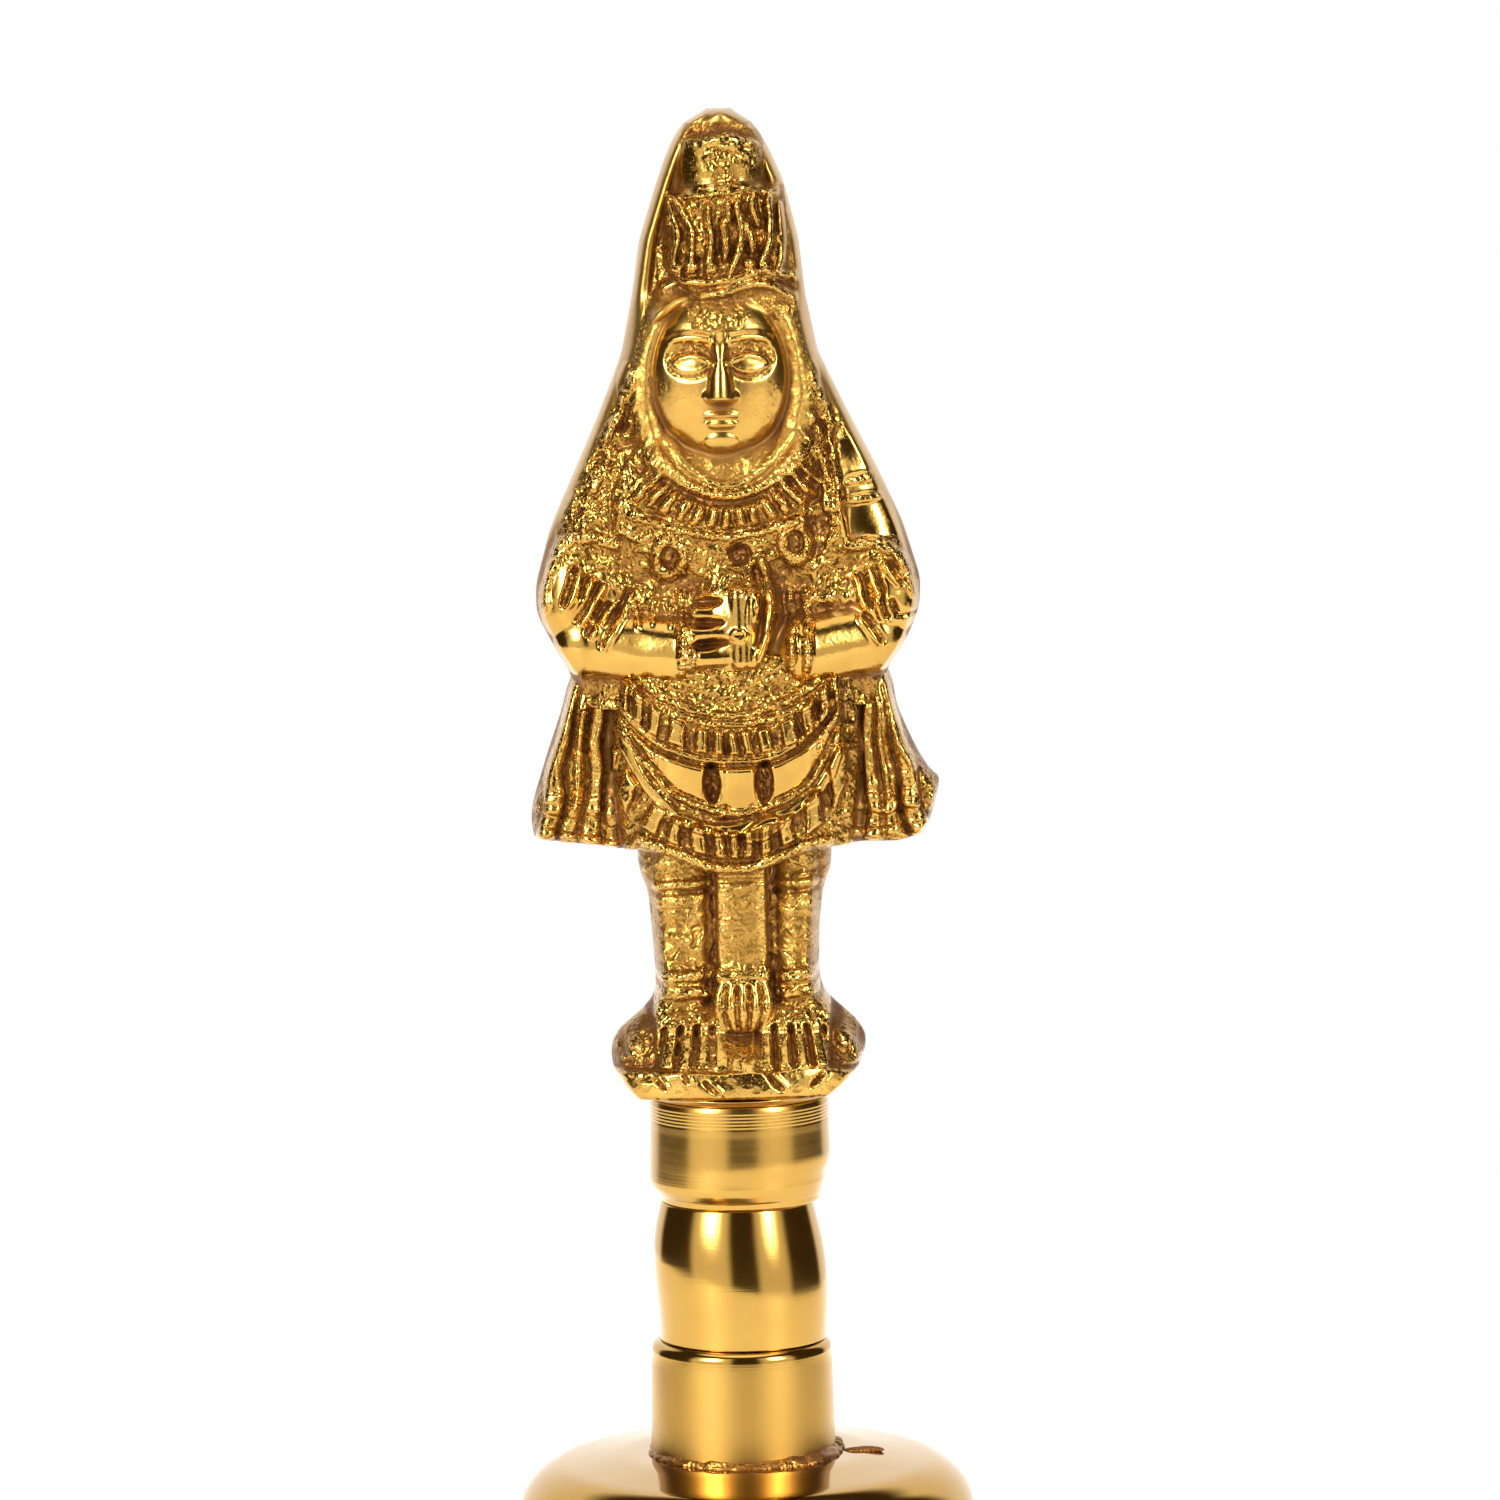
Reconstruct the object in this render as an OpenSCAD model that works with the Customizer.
// Brass puja hand bell: a turned bell cup, a three-piece turned stem and a cast winged
// figure with folded hands, drawn together by one eye bolt that also carries the clapper.
// Millimetres. Origin: centre of the mouth, on the plane of the rim. +Z runs up the handle,
// and the figure faces -Y.

/* [Bell cup] */
// Diameter across the lip
mouth_d = 74; // [66:0.5:82]
// Height from the rim to the flat of the crown
cup_h = 65.5; // [60:0.5:72]
// Diameter of the cup just under the shoulder
shoulder_d = 32.5; // [30:0.5:34]
// Wall thickness at the waist
cup_wall = 2.2; // [1.8:0.1:3]
// Wall thickness at the rim
rim_wall = 3.4; // [2.8:0.1:4]
// Thickness of the crown plate
crown_t = 3.5; // [3:0.1:4.5]

/* [Stem] */
// Height of the lower collar
lower_h = 8.1; // [7:0.1:10]
// Height of the barrel-shaped sleeve
sleeve_h = 9.9; // [8:0.1:13]
// Height of the upper collar
upper_h = 7.9; // [6:0.1:9]
// Diameter of the upper collar
stem_d = 12.6; // [11.5:0.1:13.5]

/* [Figure] */
// Height of the casting with its pedestal
figure_h = 68.4; // [64:0.2:74]
// Width across the flared skirt
skirt_w = 28.4; // [26:0.2:31]
// Width across the elbows
elbow_w = 26.6; // [24:0.2:29]
// Width of the pedestal
pedestal_w = 17.6; // [16:0.2:19]

/* [Fixing] */
// Diameter of the eye bolt's shank
bolt_d = 5; // [4:0.5:6]
// Width of the crown nut across its flats
nut_af = 8; // [7:0.5:10]

/* [Clapper] */
// Diameter of the ball
ball_d = 13; // [11:0.5:14]
// Height of the ball's centre above the rim plane
ball_z = 10; // [9.5:0.5:12]
// Diameter of the rod
rod_d = 2.4; // [2:0.1:3]

/* [Hidden] */
$fn = 96;

brass = "goldenrod";
steel = "silver";

// Heights of the joints up the stem
lower_z = cup_h;
sleeve_z = lower_z + lower_h;
upper_z = sleeve_z + sleeve_h;
figure_z = upper_z + upper_h;
stem_r = stem_d / 2;

// The bell cup's driving heights
lip_z = 3;
shoulder_r = shoulder_d / 2;
shoulder_round = 4.2;
shoulder_z = cup_h - 0.7 - shoulder_round;
mouth_r = mouth_d / 2;
flare_power = 1.9;
flare_r = mouth_r - 2.2;

// Clearances: a running gap round the shank, and the play left between hooked rings
shank_gap = 0.08;
hook_gap = 0.05;

// The eye bolt hangs in the cup, with its nut and washer clamping the crown
washer_t = 1;
nut_t = 4;
crown_under = cup_h - crown_t;
nut_z = crown_under - washer_t - nut_t;
eye_wire = 1.25;
eye_ring = 3.25;
eye_z = nut_z - 1 - eye_ring - eye_wire;
bolt_top = figure_z + 7;

// The link rides on the eye's lowest wire, and the clapper's own eye rides on the link's
link_wire = 0.9;
link_ring = 3.8;
eye_low = eye_z - eye_ring;
link_z = eye_low + eye_wire + link_wire + hook_gap - link_ring;
link_low = link_z - link_ring;
tongue_wire = 1.1;
tongue_ring = 2.9;
tongue_z = link_low + link_wire + tongue_wire + hook_gap - tongue_ring;

// Outer radius of the cup at height z: a power curve from the shoulder out to the lip
function flare(z) =
  shoulder_r + (flare_r - shoulder_r) * pow((shoulder_z - z) / (shoulder_z - lip_z), flare_power);

// Wall thickness at height z, growing towards the rim
function wall(z) = cup_wall + (rim_wall - cup_wall) * pow(1 - z / shoulder_z, 3);

// Points of a round bead that stands out of the flare at height z, going down
function bead(z, r) = [
  for (a = [90:-30:-90]) [flare(z) + r * cos(a), z + r * sin(a)]
];

// Points of an arc about [x, y] from angle a to angle b
function arc(x, y, r, a, b, steps) = [
  for (i = [0:steps]) let (t = a + (b - a) * i / steps) [x + r * cos(t), y + r * sin(t)]
];

// The flare between two heights, in even steps going down
function flare_run(top, low, steps) = [
  for (i = [0:steps]) let (z = top + (low - top) * i / steps) [flare(z), z]
];

// A ring that lies flat, of wire radius w and centreline radius r
module torus(r, w) {
  rotate_extrude() translate([r, 0]) circle(w, $fn = 48);
}

// A tapering drum between two heights, open through its middle for the shank
module bored(top, low) {
  difference() {
    children();
    translate([0, 0, low - 1]) cylinder(h = top - low + 2, r = bolt_d / 2 + shank_gap);
  }
}

module bell_cup() {
  outer = concat(
    [[0, cup_h], [stem_r + 1.2, cup_h]],
    arc(shoulder_r - shoulder_round, shoulder_z, shoulder_round, 76, 0, 9),
    flare_run(shoulder_z - 0.8, 54.6, 3), bead(54, 0.6), bead(52.4, 0.6),
    flare_run(51.4, 22.6, 14), bead(21.9, 0.7), bead(20.1, 0.7),
    flare_run(19, lip_z + 2.2, 7),
    arc(mouth_r - 1.6, 1.6, 1.6, 60, -90, 8)
  );
  inner_top = crown_under - 3;
  inner = concat(
    [for (i = [0:20]) let (z = 0.6 + (inner_top - 0.6) * i / 20) [flare(max(z, lip_z)) - wall(z), z]],
    [[shoulder_r - cup_wall - 1.4, crown_under - 0.8]],
    [[shoulder_r - cup_wall - 3, crown_under], [0, crown_under]]
  );
  color(brass)
    bored(cup_h, crown_under)
      rotate_extrude() polygon(concat(outer, [[flare_r - rim_wall + 0.4, 0]], inner));
}

// Filler metal that runs round the foot of the lower collar
module lower_braze() {
  foot_r = stem_r + 0.2;
  color("darkgoldenrod")
    rotate_extrude() polygon(concat(
      [[foot_r, lower_z], [foot_r + 0.9, lower_z]],
      arc(foot_r + 0.95, lower_z + 0.85, 0.8, 270, 180, 5),
      [[foot_r, lower_z + 0.85]]
    ));
}

// The lower collar tapers out towards the cup, and its top edge is rounded
module lower_collar() {
  edge = 0.9;
  color(brass)
    bored(sleeve_z, lower_z)
      rotate_extrude() polygon(concat(
        [[0, lower_z], [stem_r + 0.2, lower_z], [stem_r + 0.2, lower_z + 1]],
        arc(stem_r - 0.05 - edge, sleeve_z - edge, edge, 0, 90, 6),
        [[0, sleeve_z]]
      ));
}

// The sleeve is a slack barrel: narrow at the top, full a third of the way up
module waist_sleeve() {
  top_r = stem_r - 0.85;
  foot_r = stem_r - 0.45;
  belly = 0.5;
  steps = 14;
  color(brass)
    bored(upper_z, sleeve_z)
      rotate_extrude() polygon(concat(
        [[0, sleeve_z]],
        [for (i = [0:steps]) let (t = i / steps)
          [foot_r + (top_r - foot_r) * t + belly * sin(180 * pow(t, 0.85)), sleeve_z + sleeve_h * t]],
        [[0, upper_z]]
      ));
}

// The upper collar is a plain drum with a long chamfer under it
module upper_collar() {
  chamfer_h = 1.5;
  color(brass)
    bored(figure_z, upper_z)
      rotate_extrude() polygon([
        [0, upper_z], [stem_r - 0.65, upper_z], [stem_r - 0.12, upper_z + 0.55],
        [stem_r, upper_z + chamfer_h], [stem_r, figure_z - 0.5], [0, figure_z - 0.5]
      ]);
}

// Filler metal between the upper collar and the pedestal
module upper_braze() {
  color("darkgoldenrod")
    bored(figure_z, figure_z - 0.5)
      rotate_extrude() polygon([
        [0, figure_z - 0.5], [stem_r - 0.15, figure_z - 0.5], [stem_r + 0.35, figure_z], [0, figure_z]
      ]);
}

// Half of an outline in the XZ plane, mirrored about the middle and given a thickness along Y
module slab(half, front, back) {
  translate([0, back, 0]) rotate([90, 0, 0]) linear_extrude(back - front)
    polygon(concat(half, [for (i = [len(half) - 1:-1:0]) [-half[i][0], half[i][1]]]));
}

// A limb with round ends between two points
module limb(a, b, ra, rb) {
  hull() {
    translate(a) sphere(ra, $fn = 16);
    translate(b) sphere(rb, $fn = 16);
  }
}

// The veil behind the figure, from its point down to the elbows and the waist
module veil() {
  point_r = 2.7;
  elbow_r = 2.6;
  slab(concat(
    arc(0, figure_h - point_r, point_r, 90, 20, 4),
    [[4.9, 62.3], [5.9, 58.2], [6.6, 53], [8.4, 48], [10.3, 44]],
    arc(elbow_w / 2 - elbow_r, 34.6, elbow_r, 30, -60, 5),
    [[11.3, 30.6], [11.4, 28]]
  ), -0.8, 3.2);
}

module skirt() {
  hem_z = 17.6;
  slab([
    [11.2, 31], [11.8, 27.5], [skirt_w / 2 - 0.7, 22.2], [skirt_w / 2, 19.8], [skirt_w / 2 - 0.8, 18.2],
    [6.8, hem_z - 0.4]
  ], -2.6, 3.2);
  // The apron swells forward and hangs a little lower than the side panels
  intersection() {
    translate([0, 0.6, 0]) scale([1, 0.62, 1]) cylinder(h = 31, r1 = 9.6, r2 = 8.6);
    translate([-12, -8, hem_z - 2.8]) cube([24, 12, 31]);
  }
}

module legs() {
  leg_h = 15;
  for (side = [-1, 1])
    translate([side * 3.1, -0.4, 2.6]) cylinder(h = leg_h, r1 = 2.9, r2 = 2.7);
  slab([[5.8, 17], [5.4, 9], [6.6, 6.4], [8.6, 4.6], [8.7, 2.4]], -0.9, 3);
  // Sash between the legs, with its tassel
  translate([-1.8, -4.1, 4.6]) cube([3.6, 5, 12.6]);
  for (side = [-1, 1])
    translate([side * 3.1, -4.4, 2.6]) scale([1, 1.2, 0.75]) sphere(2.6, $fn = 48);
}

module pedestal() {
  w = pedestal_w / 2;
  scale([1, 0.86, 1]) rotate_extrude() polygon(concat(
    [[0, 0], [w - 1.6, 0]],
    arc(w - 1.5, 1.5, 1.5, -60, 60, 6),
    [[w - 1.8, 3.1], [0, 3.1]]
  ));
}

module body_and_arms() {
  hand_z = 33;
  elbow = [elbow_w / 2 - 2.5, -1.2, 34];
  translate([0, 0.4, 0]) scale([1, 0.56, 1]) cylinder(h = 46, r = 8.4);
  for (side = [-1, 1]) {
    limb([side * 7, -0.6, 43.5], [side * elbow[0], elbow[1], elbow[2]], 2.2, 2.5);
    limb([side * elbow[0], elbow[1], elbow[2]], [side * 2.6, -5.2, hand_z], 2.5, 2.2);
  }
  // Joined palms
  hull() {
    translate([0, -6, 32]) sphere(2.5, $fn = 16);
    translate([0, -5.4, 38.5]) sphere(1.4, $fn = 16);
  }
}

module head_and_crown() {
  face_r = 5.2;
  translate([0, -1.2, 50.2]) scale([1, 0.85, 1.22]) sphere(face_r);
  for (side = [-1, 1])
    translate([side * 5.3, -0.8, 47.6]) sphere(1.9, $fn = 48);
  translate([0, -0.6, 54]) scale([1, 0.8, 1]) cylinder(h = 11, r1 = 5.7, r2 = 4.1);
  translate([0, -0.5, 54.6]) scale([1, 0.8, 1]) cylinder(h = 1.4, r = 6);
  translate([0, -0.2, 64.5]) scale([1, 0.8, 1]) cylinder(h = 3, r1 = 4, r2 = 2.6);
}

// One casting: the pedestal, the figure and the veil are poured together
module figure() {
  color(brass)
    translate([0, 0, figure_z])
      difference() {
        union() {
          pedestal();
          legs();
          skirt();
          intersection() {
            body_and_arms();
            translate([-20, -12, 28]) cube([40, 24, 40]);
          }
          veil();
          head_and_crown();
        }
        translate([0, 0, -1]) cylinder(h = 8.3, r = bolt_d / 2 + 0.02);
      }
}

// The bolt runs from the eye inside the cup, up the stem and into the pedestal
module eye_bolt() {
  groove = 0.18;
  shank_r = bolt_d / 2;
  color(steel) {
    translate([0, 0, eye_z]) rotate([90, 0, 0]) torus(eye_ring, eye_wire);
    rotate_extrude() polygon([
      [0, bolt_top], [shank_r - 0.4, bolt_top], [shank_r, bolt_top - 0.4],
      [shank_r, nut_z], [shank_r - groove, nut_z - 0.3], [shank_r, nut_z - 0.6],
      [shank_r - 0.6, nut_z - 1.4], [0, nut_z - 1.8]
    ]);
  }
}

module crown_washer() {
  color(steel)
    translate([0, 0, crown_under - washer_t]) difference() {
      cylinder(h = washer_t, r = 6);
      translate([0, 0, -1]) cylinder(h = washer_t + 2, r = bolt_d / 2 + shank_gap);
    }
}

module crown_nut() {
  corner_r = nut_af / 2 / cos(30);
  flat_r = nut_af / 2 + 0.05;
  color(steel)
    translate([0, 0, nut_z]) difference() {
      intersection() {
        cylinder(h = nut_t, r = corner_r, $fn = 6);
        rotate_extrude() polygon([
          [0, 0], [flat_r, 0], [corner_r, 0.5],
          [corner_r, nut_t - 0.5], [flat_r, nut_t], [0, nut_t]
        ]);
      }
      translate([0, 0, -1]) cylinder(h = nut_t + 2, r = bolt_d / 2 + 0.02);
    }
}

module clapper_link() {
  color(steel)
    translate([0, 0, link_z]) rotate([0, 90, 0]) torus(link_ring, link_wire);
}

// Rod with its hanging eye, and the end that is peened over under the ball
module clapper_rod() {
  rod_r = rod_d / 2;
  ball_low = ball_z - ball_d / 2;
  color(steel) {
    translate([0, 0, tongue_z]) rotate([90, 0, 0]) torus(tongue_ring, tongue_wire);
    rotate_extrude() polygon([
      [0, tongue_z - tongue_ring + 0.4], [rod_r, tongue_z - tongue_ring - 0.4],
      [rod_r, ball_low + 0.35], [rod_r + 0.9, ball_low + 0.35],
      [rod_r + 0.6, ball_low - 0.45], [0, ball_low - 0.8]
    ]);
  }
}

module clapper_ball() {
  flat = 0.35;
  color(brass)
    translate([0, 0, ball_z]) difference() {
      intersection() {
        sphere(ball_d / 2);
        translate([0, 0, -ball_d / 2 + flat]) cylinder(h = ball_d - 2 * flat, r = ball_d);
      }
      translate([0, 0, -ball_d]) cylinder(h = 2 * ball_d, r = rod_d / 2 + 0.02);
    }
}

figure();
upper_braze();
upper_collar();
waist_sleeve();
lower_collar();
lower_braze();
bell_cup();
eye_bolt();
crown_washer();
crown_nut();
clapper_link();
clapper_rod();
clapper_ball();
